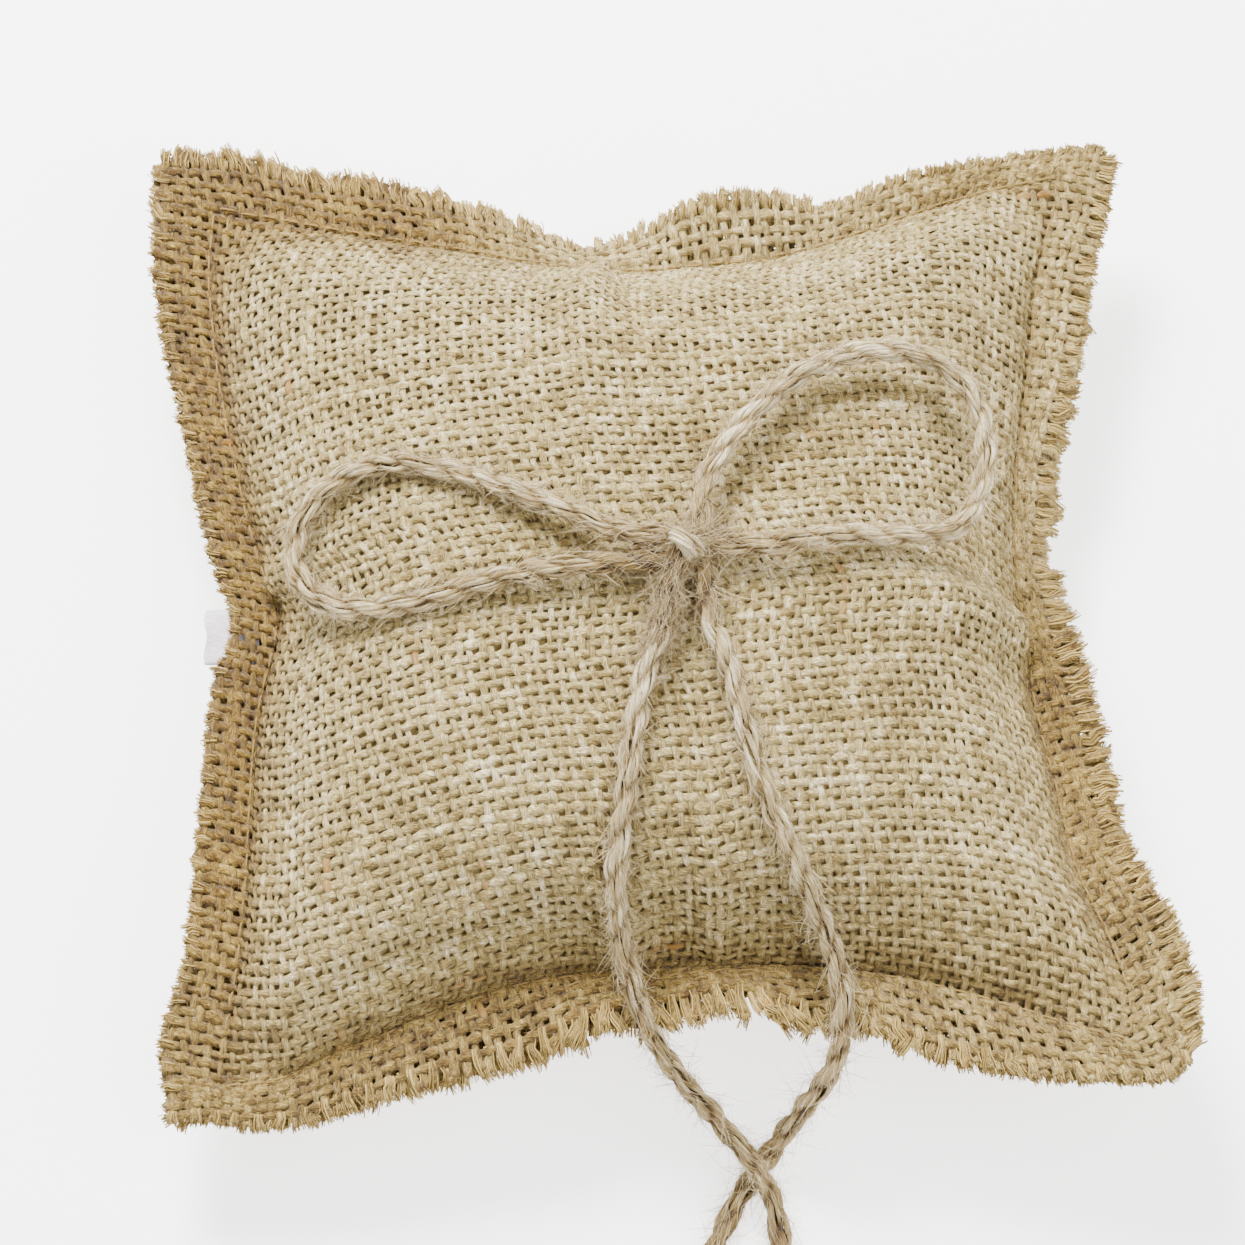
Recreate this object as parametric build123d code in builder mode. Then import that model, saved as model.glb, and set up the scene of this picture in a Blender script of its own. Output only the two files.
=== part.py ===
"""Ring bearer pillow: a small burlap cushion with raw flanges and a twine bow on its front.

Millimetres. The pillow lies on its back with its front face up.
+X is towards its right edge, +Y towards its top edge, +Z up out of the front face.
The origin is under the middle of the flanges' outline, on the surface that the pillow lies on.
"""

from build123d import *
import math
import os

os.makedirs("parts", exist_ok=True)

# ---------------------------------------------------------------- driving dimensions
SEAM_HEIGHT = 20.0  # the plane where the two panels meet, above the resting surface
CROWN_RISE = 26.0  # the stuffed front face, above that plane
BACK_DROP = 22.0  # the back face's free depth, which the resting surface cuts short
CLOTH = 1.1  # thickness of one layer of burlap
PANEL_GAP = 0.4  # between the two flange layers, where the label lies
FILL_GAP = 0.2  # between the stuffing and the cloth round it
FRONT_FULLNESS = 0.39  # exponent of the crown: smaller is fuller towards the seams
BACK_FULLNESS = 0.34

THREAD = 0.6  # sewing thread, diameter
STITCH = 2.8  # length of one stitch on the surface
STITCHES_PER_SIDE = 24
STITCH_MARGIN = 1.2  # from the foot of the crown to the line of stitches
CLOSING_STITCHES = 9
CLOSING_PITCH = 3.4

TWINE = 3.6  # jute twine, diameter
KNOT_SIZE = (9.0, 9.0, 7.0)
KNOT_CENTRE = (4.2, 0.2, 50.0)

# the seam, a square whose sides are drawn in: four corners, and the middle of each side between
SEAM_CORNERS = [(-67, 66.5), (61.5, 70), (67.5, -62.5), (-63, -70.5)]
SEAM_MIDDLES = [(-5, 57), (54.5, 3), (6, -53.5), (-56.5, -3)]
SEAM_CENTRE = (0.0, 0.0)

# the raw edge of the flanges, one list of points for each side, corner to corner
FLANGE_TOP = [(-78.5, 77), (-56, 75.5), (-31, 71), (-10, 63), (14, 71.5), (38, 73.5), (72, 78)]
FLANGE_RIGHT = [(72, 78), (67, 50), (62, 27), (60, 10), (66, -14), (70, -36), (78.5, -66.5)]
FLANGE_BOTTOM = [(78.5, -66.5), (50, -70.5), (21, -64), (1, -62), (-24, -70), (-48, -76), (-71, -78)]
FLANGE_LEFT = [(-71, -78), (-70, -50), (-67, -12), (-67.5, 6), (-71.5, 28), (-76, 52), (-78.5, 77)]

# heights of the crown's contours, as fractions of its rise
FRONT_LEVELS = [0.0, 0.3, 0.55, 0.75, 0.9, 0.97]
BACK_LEVELS = [0.0, 0.3, 0.5, 0.7, 0.82, SEAM_HEIGHT / BACK_DROP]

FRONT_BASE = SEAM_HEIGHT + PANEL_GAP / 2  # underside of the front flange layer
BACK_BASE = SEAM_HEIGHT - PANEL_GAP / 2  # upper side of the back flange layer


# ---------------------------------------------------------------- shapes that repeat
def contour(level, fullness, inset):
    """Corners and side middles of the cushion's outline at a level, drawn in by inset."""
    corner_part = math.sqrt(1 - level ** (1 / (2 * fullness)))
    middle_part = math.sqrt(1 - level ** (1 / fullness))

    def placed(points, part):
        moved = []
        for x, y in points:
            reach = math.hypot(x, y)
            shrink = part - inset / reach * (1.4 if part == corner_part else 1.0)
            moved.append((SEAM_CENTRE[0] + x * shrink, SEAM_CENTRE[1] + y * shrink))
        return moved

    return placed(SEAM_CORNERS, corner_part), placed(SEAM_MIDDLES, middle_part)


def draw_contour(level, fullness, inset):
    """Four arcs, one for each drawn-in side, in the active line."""
    corners, middles = contour(level, fullness, inset)
    for side in range(4):
        ThreePointArc(corners[side], middles[side], corners[(side + 1) % 4])


def draw_flange():
    """The raw edge all round, in the active line."""
    for side in (FLANGE_TOP, FLANGE_RIGHT, FLANGE_BOTTOM, FLANGE_LEFT):
        Spline(*side)


def stitch_places(side, height, count, pitch=None, margin=STITCH_MARGIN):
    """Where the stitches of one side of the seam lie, each turned along the seam."""
    corners, middles = contour(0.0, FRONT_FULLNESS, -margin)
    line = Edge.make_three_point_arc(corners[side], middles[side], corners[(side + 1) % 4])
    places = []
    for number in range(count):
        along = (number + 0.5) / count
        if pitch is not None:
            along = 0.5 + (number - (count - 1) / 2) * pitch / line.length
        spot = line.position_at(along)
        heading = line.tangent_at(along)
        turn = math.degrees(math.atan2(heading.Y, heading.X))
        places.append(Location((spot.X, spot.Y, height), (0, 0, turn)))
    return places


def corner_radii(points):
    """One radius for each corner of a route: 0.45 of the shorter run over tan(turn / 2)."""
    radii = []
    for before, corner, after in zip(points, points[1:], points[2:]):
        arriving = Vector(corner) - Vector(before)
        leaving = Vector(after) - Vector(corner)
        half_turn = math.radians(arriving.get_angle(leaving) / 2)
        radii.append(0.45 * min(arriving.length, leaving.length) / math.tan(half_turn))
    return radii


# ---------------------------------------------------------------- the two burlap panels
with BuildPart() as front_panel:
    with BuildSketch(Plane.XY.offset(FRONT_BASE)):
        with BuildLine():
            draw_flange()
        make_face()
    extrude(amount=CLOTH)
    for level in FRONT_LEVELS:
        with BuildSketch(Plane.XY.offset(FRONT_BASE + level * CROWN_RISE)):
            with BuildLine():
                draw_contour(level, FRONT_FULLNESS, 0)
            make_face()
    loft()
    for level in FRONT_LEVELS:
        with BuildSketch(Plane.XY.offset(FRONT_BASE + level * (CROWN_RISE - CLOTH))):
            with BuildLine():
                draw_contour(level, FRONT_FULLNESS, CLOTH)
            make_face()
    loft(mode=Mode.SUBTRACT)
front_panel.part.label = "front_panel"
export_step(front_panel.part, "parts/front_panel.step")

with BuildPart() as back_panel:
    with BuildSketch(Plane.XY.offset(BACK_BASE - CLOTH)):
        with BuildLine():
            draw_flange()
        make_face()
    extrude(amount=CLOTH)
    for level in BACK_LEVELS:
        with BuildSketch(Plane.XY.offset(BACK_BASE - level / BACK_LEVELS[-1] * BACK_BASE)):
            with BuildLine():
                draw_contour(level, BACK_FULLNESS, 0)
            make_face()
    loft()
    for level in BACK_LEVELS:
        with BuildSketch(Plane.XY.offset(BACK_BASE - level / BACK_LEVELS[-1] * (BACK_BASE - CLOTH))):
            with BuildLine():
                draw_contour(level, BACK_FULLNESS, CLOTH)
            make_face()
    loft(mode=Mode.SUBTRACT)
back_panel.part.label = "back_panel"
export_step(back_panel.part, "parts/back_panel.step")

# ---------------------------------------------------------------- the loose fibre filling
FILL_INSET = CLOTH + FILL_GAP
with BuildPart() as stuffing:
    for level in FRONT_LEVELS:
        with BuildSketch(Plane.XY.offset(SEAM_HEIGHT + level * (CROWN_RISE - FILL_INSET))):
            with BuildLine():
                draw_contour(level, FRONT_FULLNESS, FILL_INSET)
            make_face()
    loft()
    for level in BACK_LEVELS:
        with BuildSketch(Plane.XY.offset(SEAM_HEIGHT - level / BACK_LEVELS[-1] * (BACK_BASE - FILL_INSET))):
            with BuildLine():
                draw_contour(level, BACK_FULLNESS, FILL_INSET)
            make_face()
    loft()
stuffing.part.label = "stuffing"
export_step(stuffing.part, "parts/stuffing.step")

# ---------------------------------------------------------------- blank label in the left seam
LABEL_FOLD = (-70.0, -1.0)  # middle of its folded edge, just past the flange
LABEL_DEPTH = 11.0
LABEL_WIDTH = 9.0
LABEL_THICKNESS = 0.3

with BuildPart() as side_label:
    with BuildSketch(Plane.XY.offset(SEAM_HEIGHT - LABEL_THICKNESS / 2)):
        with Locations((LABEL_FOLD[0] + LABEL_DEPTH / 2, LABEL_FOLD[1])):
            Rectangle(LABEL_DEPTH, LABEL_WIDTH)
    extrude(amount=LABEL_THICKNESS)
side_label.part.label = "side_label"
export_step(side_label.part, "parts/side_label.step")

# ---------------------------------------------------------------- sewing thread
FRONT_THREAD = FRONT_BASE + CLOTH + THREAD / 2
BACK_THREAD = BACK_BASE - CLOTH - THREAD / 2

for side, side_name in enumerate(["top", "right", "bottom", "left"]):
    with BuildPart() as seam_stitches:
        for height in (FRONT_THREAD, BACK_THREAD):
            with Locations(*stitch_places(side, height, STITCHES_PER_SIDE)):
                Cylinder(THREAD / 2, STITCH, rotation=(0, 90, 0))
    seam_stitches.part.label = f"seam_stitches_{side_name}"
    export_step(seam_stitches.part, f"parts/seam_stitches_{side_name}.step")

# the gap that the filling went in by, closed with a second line outside the first
with BuildPart() as closing_stitches:
    for height in (FRONT_THREAD, BACK_THREAD):
        with Locations(*stitch_places(2, height, CLOSING_STITCHES, CLOSING_PITCH, 2.6)):
            Cylinder(THREAD / 2, STITCH, rotation=(0, 90, 0))
closing_stitches.part.label = "closing_stitches"
export_step(closing_stitches.part, "parts/closing_stitches.step")

# ---------------------------------------------------------------- twine bow
knot_left = KNOT_CENTRE[0] - KNOT_SIZE[0] / 2
knot_right = KNOT_CENTRE[0] + KNOT_SIZE[0] / 2
knot_near = KNOT_CENTRE[1] - KNOT_SIZE[1] / 2
knot_far = KNOT_CENTRE[1] + KNOT_SIZE[1] / 2

with BuildPart() as bow_knot:
    Box(*KNOT_SIZE)
    fillet(bow_knot.edges(), radius=1.6)
bow_knot.part.locate(Location(KNOT_CENTRE))
bow_knot.part.label = "bow_knot"
export_step(bow_knot.part, "parts/bow_knot.step")

# each strand leaves a face of the knot square to it, and follows the crown
TWINE_ROUTES = {
    "bow_left_loop": [
        (knot_left, 2.2, 50.6), (-6.0, 2.2, 50.6), (-14.0, 6.6, 49.6), (-22.2, 10.4, 47.8),
        (-30.6, 13.8, 45.8), (-38.8, 16.2, 43.8), (-46.4, 14.8, 41.2), (-52.2, 9.8, 38.2),
        (-53.8, 2.6, 36.6), (-50.0, -4.0, 38.6), (-42.6, -6.8, 42.2), (-34.0, -6.2, 45.0),
        (-25.4, -4.0, 47.2), (-16.6, -2.4, 48.4), (-8.0, -1.9, 49.0), (knot_left, -1.9, 49.0),
    ],
    "bow_right_loop": [
        (6.2, knot_far, 50.6), (6.2, 9.6, 50.6), (9.6, 16.2, 49.4), (14.2, 22.8, 47.8),
        (19.6, 28.4, 46.0), (26.2, 32.4, 44.3), (33.8, 34.4, 42.8), (41.4, 33.4, 41.2),
        (47.0, 28.6, 39.2), (48.6, 21.2, 38.7), (46.2, 13.4, 39.8), (40.2, 7.6, 42.6),
        (32.6, 5.2, 45.2), (24.8, 3.8, 47.2), (16.8, 0.8, 49.0), (knot_right, 0.8, 49.0),
    ],
    "left_tail": [
        (1.6, knot_near, 49.0), (1.6, -10.0, 49.0), (-1.8, -17.4, 48.6), (-3.4, -25.4, 47.2),
        (-4.4, -33.4, 45.2), (-5.8, -41.0, 42.2), (-6.2, -47.8, 37.8), (-5.4, -53.2, 32.4),
        (-3.8, -58.8, 28.2), (-1.4, -64.6, 25.0), (2.2, -69.2, 20.0), (6.2, -72.6, 14.4),
        (9.8, -75.4, 10.0), (13.2, -78.8, 7.6), (16.2, -83.6, 6.6), (18.2, -89.6, 3.2),
        (18.4, -96.6, 1.9), (17.2, -103.2, 1.9),
    ],
    "right_tail": [
        (6.8, knot_near, 49.0), (6.8, -9.6, 49.0), (9.6, -15.8, 48.4), (11.6, -23.6, 47.2),
        (13.8, -31.8, 45.0), (17.0, -39.2, 42.2), (20.6, -45.8, 38.2), (23.6, -51.4, 33.0),
        (26.0, -57.0, 28.8), (26.8, -63.4, 26.0), (25.4, -69.2, 21.4), (22.6, -71.8, 15.0),
        (19.6, -74.6, 9.0), (16.4, -77.9, 4.4), (13.2, -81.9, 2.1), (10.2, -87.2, 1.9),
        (7.6, -93.2, 1.9), (5.8, -99.4, 1.9),
    ],
}

for strand_name, route in TWINE_ROUTES.items():
    radii = corner_radii(route)
    with BuildPart() as strand:
        with BuildLine() as path:
            FilletPolyline(*route, radius=radii)
        with BuildSketch(Plane(origin=path.line @ 0, z_dir=path.line % 0)):
            Circle(TWINE / 2)
        sweep()
    length = path.wire().length
    swept = math.pi * TWINE**2 / 4 * length
    print(strand_name, "length", round(length, 1), "radii", [round(radius, 1) for radius in radii])
    print("  volume over section times length", round(strand.part.volume / swept, 4))
    strand.part.label = strand_name
    export_step(strand.part, f"parts/{strand_name}.step")

# ---------------------------------------------------------------- thread that tacks the knot down
TACK_REACH = 2.4  # either side of the knot's middle, between the knot and the cloth
TACK_HEIGHT = FRONT_BASE + FRONT_LEVELS[-1] * CROWN_RISE + THREAD / 2

with BuildPart() as tack_stitch:
    for reach in (-TACK_REACH, TACK_REACH):
        with Locations((KNOT_CENTRE[0] + reach, KNOT_CENTRE[1], TACK_HEIGHT)):
            Cylinder(THREAD / 2, STITCH, rotation=(0, 90, 45))
tack_stitch.part.label = "tack_stitch"
export_step(tack_stitch.part, "parts/tack_stitch.step")
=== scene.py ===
import math

import bpy
import numpy as np
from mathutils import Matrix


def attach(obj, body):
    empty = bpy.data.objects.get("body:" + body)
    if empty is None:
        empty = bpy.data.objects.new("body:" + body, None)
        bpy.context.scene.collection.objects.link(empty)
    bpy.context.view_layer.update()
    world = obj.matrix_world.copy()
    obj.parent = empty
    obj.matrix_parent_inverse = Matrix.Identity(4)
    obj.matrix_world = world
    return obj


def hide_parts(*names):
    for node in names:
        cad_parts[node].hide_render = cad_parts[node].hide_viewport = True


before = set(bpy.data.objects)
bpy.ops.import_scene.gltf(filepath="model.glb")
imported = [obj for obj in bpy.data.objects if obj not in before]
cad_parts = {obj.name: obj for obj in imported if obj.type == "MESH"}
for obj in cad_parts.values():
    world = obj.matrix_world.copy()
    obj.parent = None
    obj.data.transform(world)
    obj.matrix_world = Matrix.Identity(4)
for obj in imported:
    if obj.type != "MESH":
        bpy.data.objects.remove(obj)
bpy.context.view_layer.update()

MM = 0.001

# ---- driving sizes, millimetres
CELLS = 94  # yarns each way in one panel
FLANGE_CELLS = 5  # of those, yarns in the flange on each side
INNER_CELLS = CELLS - 2 * FLANGE_CELLS
CROWN_RISE = 25.4  # middle of the front cloth above the seam
BACK_DROP = 22.5  # back cloth below it, before the floor flattens it
LAYER_HALF = 0.62  # from the seam's height to a layer's middle
WARP_HALF_WIDTH = 0.53  # the warp runs from bottom to top, the weft from left to right
WEFT_HALF_WIDTH = 0.66
YARN_HALF_HEIGHT = 0.31
CRIMP = 0.20  # how far a yarn swings to either side of the cloth's middle
WARP_SLANT = -0.17  # half the sideways drift of a float from end to end
WEFT_SLANT = 0.08
FLANGE_SPREAD = {"front": 0.15, "back": 0.40}  # how much wider the yarns lie in the flange
GRAIN_TURN = 0.085  # the weave lies turned on the crown by this angle, in radians
FREE_POINTS = 5  # points on each yarn's free end, past the weave

SIDES = ("bottom", "top", "left", "right")
# the seam: x, y, z, each side from its left or its lower end
SEAM = {
    "bottom": [
        (-63, -70.7, 17), (-55, -69.6, 17.5), (-47.4, -66.4, 18.5), (-39.8, -63.2, 19), (-30.2, -59.2, 19.5),
        (-23, -56.9, 20), (-15.7, -55.3, 20.3), (-6, -54.5, 20.6), (6, -54.2, 21), (20.7, -53.8, 20.8),
        (28, -54.4, 20.6), (35.2, -55.3, 20.5), (42.5, -56.9, 20.6), (54, -60.6, 21.5), (61, -63.4, 22.5),
        (67.5, -65.5, 24),
    ],
    "top": [
        (-67.9, 66.8, 20), (-58, 65, 20), (-45, 62.5, 20), (-30, 60, 19.8), (-18, 58, 19.4), (-5, 57, 19),
        (8, 57.2, 20), (20, 59, 20), (30, 62.3, 20), (42, 67, 20), (52, 70.2, 20), (61.6, 72.5, 20),
    ],
    "left": [
        (-63, -70.7, 17), (-62.3, -63.2, 17.8), (-61.2, -56.6, 18.6), (-60.3, -48.8, 19.4),
        (-59.8, -40.6, 20), (-59.5, -31, 20), (-59.3, -22, 20), (-58.6, -14, 20), (-57.2, -7, 20),
        (-56.5, -2, 20), (-57.4, 4, 20), (-59.4, 9.5, 20), (-62, 19, 20), (-65, 32, 19.8),
        (-67.2, 45, 19.8), (-68.3, 56, 20), (-67.9, 66.8, 20),
    ],
    "right": [
        (67.5, -65.5, 24), (67.6, -60, 23), (66.5, -54.6, 22.3), (63.5, -46.3, 21.3), (61.9, -42.4, 21),
        (59.5, -33, 20.3), (57.8, -23.6, 20), (55.7, -14, 19.8), (54.8, -4, 19.5), (53.8, 5, 19),
        (53.6, 14, 18.5), (54.2, 24, 18.3), (55.5, 34, 18.8), (56.8, 44, 19.3), (57.9, 54, 19.7),
        (59.6, 62, 20), (61.2, 68, 20), (61.6, 72.5, 20),
    ],
}
# the line of the yarns' free ends, in the same order
EDGE = {
    "bottom": [
        (-71.5, -77, 17), (-66, -76.5, 17), (-60, -77.5, 16), (-53, -77.5, 16), (-46, -76, 17),
        (-30, -72, 19), (-17, -69, 20), (-8.5, -65.5, 22), (3, -64.5, 24), (12, -62.5, 26), (20.5, -65, 24),
        (30.5, -65.5, 23), (39.5, -68.5, 22), (49.5, -71, 22), (63.5, -72.5, 24), (75, -71.5, 26),
        (78, -68, 27),
    ],
    "top": [
        (-78.5, 77.5, 21), (-65, 78, 20), (-55, 75.5, 19), (-42, 73.5, 19), (-30.5, 71, 18), (-21, 68, 16),
        (-10, 65, 13), (-2.5, 66, 17), (4, 68.5, 22), (13, 70, 24), (19.5, 70, 22), (25.5, 70.5, 17),
        (32, 71.5, 20), (38, 73, 22), (53.5, 76.5, 21), (66, 78.5, 20), (72.5, 78, 21),
    ],
    "left": [
        (-71.5, -77, 17), (-72, -72, 17), (-73, -64.5, 18), (-71.5, -58.5, 19), (-70, -54, 20),
        (-69, -43.5, 20), (-68, -28.5, 20), (-67.2, -14, 20), (-66.4, -8, 20), (-64.8, -5, 20),
        (-64.5, -1, 20), (-64.9, 3, 20), (-66.6, 6.5, 20), (-69, 14.5, 19), (-71, 24, 18), (-74, 36, 18),
        (-77, 49, 19), (-78.5, 62, 20), (-78.5, 77.5, 21),
    ],
    "right": [
        (78, -68, 27), (78.5, -59.5, 26), (76.5, -50, 25), (72, -40, 23), (68.5, -31.5, 21), (67.5, -22, 20),
        (66, -12.5, 20), (64, -5, 19), (62, 5, 16), (60, 13, 13), (61.5, 20, 13), (62, 27, 14),
        (64.5, 35, 17), (66.5, 45.5, 18), (68, 56, 19), (70.5, 66, 20), (72.5, 78, 21),
    ],
}
# how gold the flange is, and how much painted shade darkens it, at places from 0 to 1 along each side
GOLD_AND_SHADE = {
    "bottom": [(0, 0.7), (0.25, 0.75), (0.5, 0.85), (0.7, 0.6), (1, 0.4)],
    "top": [(0, 1.3), (0.25, 1.1), (0.42, 0.3), (0.62, 0.2), (0.8, 0.5), (1, 0.6)],
    "left": [(0, 0.75), (0.3, 1.05), (0.6, 1.2), (1, 1.3)],
    "right": [(0, 0.4), (0.25, 0.8), (0.42, 0.95), (0.56, 0.5), (0.7, 0.3), (1, 0.4)],
}
# how far the free ends reach past the weave, at places from 0 to 1 along each side
FRINGE = {
    "bottom": [
        (0, 1.5), (0.08, 1.8), (0.16, 2.8), (0.33, 4.2), (0.44, 5.4), (0.54, 6.2), (0.64, 5.4),
        (0.72, 3.4), (0.9, 1.9), (1, 1.4),
    ],
    "top": [(0, 3.0), (0.15, 3.4), (0.32, 3.2), (0.45, 2.6), (0.6, 2.2), (0.8, 1.3), (1, 1.2)],
    "left": [(0, 1.7), (0.5, 1.5), (0.8, 2.0), (1, 2.6)],
    "right": [(0, 2.2), (0.3, 3.6), (0.5, 4.2), (0.64, 4.0), (0.8, 2.6), (1, 1.8)],
}


# ---- camera
def add_object(name, data):
    item = bpy.data.objects.new(name, data)
    bpy.context.scene.collection.objects.link(item)
    return item


def add_camera():
    """Looks down at the pillow's middle."""
    elevation = math.radians(70)
    distance = 0.65
    aim = np.array([-5.15, -0.4, 20.0]) * MM
    data = bpy.data.cameras.new("camera")
    camera = add_object("camera", data)
    camera.location = aim + distance * np.array([0, -math.cos(elevation), math.sin(elevation)])
    camera.rotation_euler = (math.pi / 2 - elevation, 0, 0)
    data.sensor_width = 36
    data.lens = 125.494
    data.clip_start = 0.01
    bpy.context.scene.camera = camera


add_camera()


# ---- mesh helpers
def new_piece(name, verts, faces_by_size, attributes=None):
    """A smooth mesh object from millimetre points and faces, one array per face size."""
    mesh = bpy.data.meshes.new(name)
    verts = np.asarray(verts, float) * MM
    mesh.vertices.add(len(verts))
    mesh.vertices.foreach_set("co", verts.ravel())
    loops = np.concatenate([f.ravel() for f in faces_by_size])
    sizes = np.concatenate([np.full(len(f), f.shape[1]) for f in faces_by_size])
    mesh.loops.add(len(loops))
    mesh.loops.foreach_set("vertex_index", loops.astype(np.int32))
    mesh.polygons.add(len(sizes))
    starts = np.concatenate([[0], np.cumsum(sizes)[:-1]])
    mesh.polygons.foreach_set("loop_start", starts.astype(np.int32))
    mesh.polygons.foreach_set("use_smooth", np.ones(len(sizes), bool))
    mesh.update(calc_edges=True)
    for key, values in (attributes or {}).items():
        kind, field = ("FLOAT", "value") if values.ndim == 1 else ("FLOAT_VECTOR", "vector")
        mesh.attributes.new(key, kind, "POINT").data.foreach_set(field, values.ravel())
    return add_object(name, mesh)


def unit(v):
    return v / np.maximum(np.linalg.norm(v, axis=-1, keepdims=True), 1e-9)


def grid_faces(index):
    """The faces between neighbouring points of a lattice of point numbers."""
    return np.stack([index[:-1, :-1], index[:-1, 1:], index[1:, 1:], index[1:, :-1]], -1).reshape(-1, 4)


def length_along(line):
    """How far along the line each of its points is."""
    return np.concatenate([[0], np.cumsum(np.linalg.norm(np.diff(line, axis=0), axis=1))])


def at_lengths(line, lengths):
    """The points of the line at the given lengths along it."""
    along = length_along(line)
    return np.stack([np.interp(lengths, along, line[:, axis]) for axis in range(3)], 1)


def tubes(centres, normals, half_width, half_height, sides, turn=0.0, lumps=1.0):
    """Closed tubes along lines of points: points, faces by size, and each point's angle round its tube."""
    count, n = centres.shape[:2]
    tangent = unit(np.gradient(centres, axis=1))
    across = unit(np.cross(tangent, normals))
    up = np.cross(across, tangent)
    angle = turn + 2 * np.pi * np.arange(sides) / sides
    half_width = np.broadcast_to(half_width, (count, n))
    half_height = np.broadcast_to(half_height, (count, n))
    ring = (
        across[:, :, None] * (half_width[:, :, None] * np.cos(angle))[..., None]
        + up[:, :, None] * (half_height[:, :, None] * np.sin(angle))[..., None]
    )
    points = (centres[:, :, None] + ring * lumps).reshape(-1, 3)
    base = (np.arange(count)[:, None, None] * n + np.arange(n - 1)[None, :, None]) * sides
    here = np.arange(sides)
    ahead = (here + 1) % sides
    quads = np.stack([base + here, base + sides + here, base + sides + ahead, base + ahead], -1)
    first = np.arange(count)[:, None] * n * sides
    caps = np.concatenate([first + here, first + (n - 1) * sides + here[::-1]])
    angles = np.broadcast_to(angle, (count, n, sides)).reshape(-1)
    return points, [quads.reshape(-1, 4), caps], angles


def smooth_noise(count, n, cell, rng):
    """Rows of noise between -1 and 1 that changes over about cell samples."""
    knots = int(n / cell) + 4
    values = rng.uniform(-1, 1, (count, knots))
    place = np.arange(n) / cell
    left = place.astype(int)
    t = place - left
    t = t * t * (3 - 2 * t)
    return values[:, left] * (1 - t) + values[:, left + 1] * t


def through(points, places):
    """A smooth line through the points, read at places from 0 to 1 along it."""
    points = np.asarray(points, float)
    chord = length_along(points[:, :2])
    chord /= chord[-1]
    slope = np.gradient(points, chord, axis=0)
    places = np.clip(places, 0, 1)
    k = np.clip(np.searchsorted(chord, places, "right") - 1, 0, len(points) - 2)
    span = (chord[k + 1] - chord[k])[:, None]
    t = (places - chord[k])[:, None] / span
    return (
        points[k] * (2 * t**3 - 3 * t**2 + 1)
        + slope[k] * span * (t**3 - 2 * t**2 + t)
        + points[k + 1] * (3 * t**2 - 2 * t**3)
        + slope[k + 1] * span * (t**3 - t**2)
    )


def profile(pairs, places):
    """Reads a list of (place, value) pairs at the given places."""
    pairs = np.asarray(pairs, float)
    return np.interp(places, pairs[:, 0], pairs[:, 1])


def fibre_grain(along, count, n, sides, angles, rng, stretch, radius, twist=0.0):
    """Texture space that runs along each yarn and round it, different for each yarn."""
    start = rng.uniform(0, 400, count)
    run = np.repeat(np.broadcast_to(along, (count, n)).reshape(-1), sides)
    around = angles + twist * run
    run = run * stretch + np.repeat(start, n * sides)
    return np.stack([run, radius * np.cos(around), radius * np.sin(around)], 1)


def fibres(name, roots, heads, lifts, lengths, half, rng, segments=4, curl=0.35, pale=1.0):
    """Fine fibres, which leave their roots along heads, bend aside and along lifts, and taper."""
    count = len(roots)
    t = np.linspace(0, 1, segments)
    side = unit(np.cross(heads, lifts))
    bend = rng.normal(0, curl, (count, 1)) * t**2 + rng.normal(0, curl, (count, 1)) * t**3
    rise = rng.normal(0, 0.6 * curl, (count, 1)) * t**2
    path = (
        roots[:, None]
        + heads[:, None] * (lengths[:, None] * t)[..., None]
        + side[:, None] * (lengths[:, None] * bend)[..., None]
        + lifts[:, None] * (lengths[:, None] * rise)[..., None]
    )
    path[..., 2] = np.maximum(path[..., 2], 0.1)
    taper = half[:, None] * (1 - 0.6 * t)
    points, faces, _ = tubes(path, lifts[:, None] + np.zeros_like(path), taper, taper, 3)
    tone = np.repeat(rng.uniform(0, pale, count), segments * 3)
    return new_piece(name, points, faces, {"tone": tone})


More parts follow.
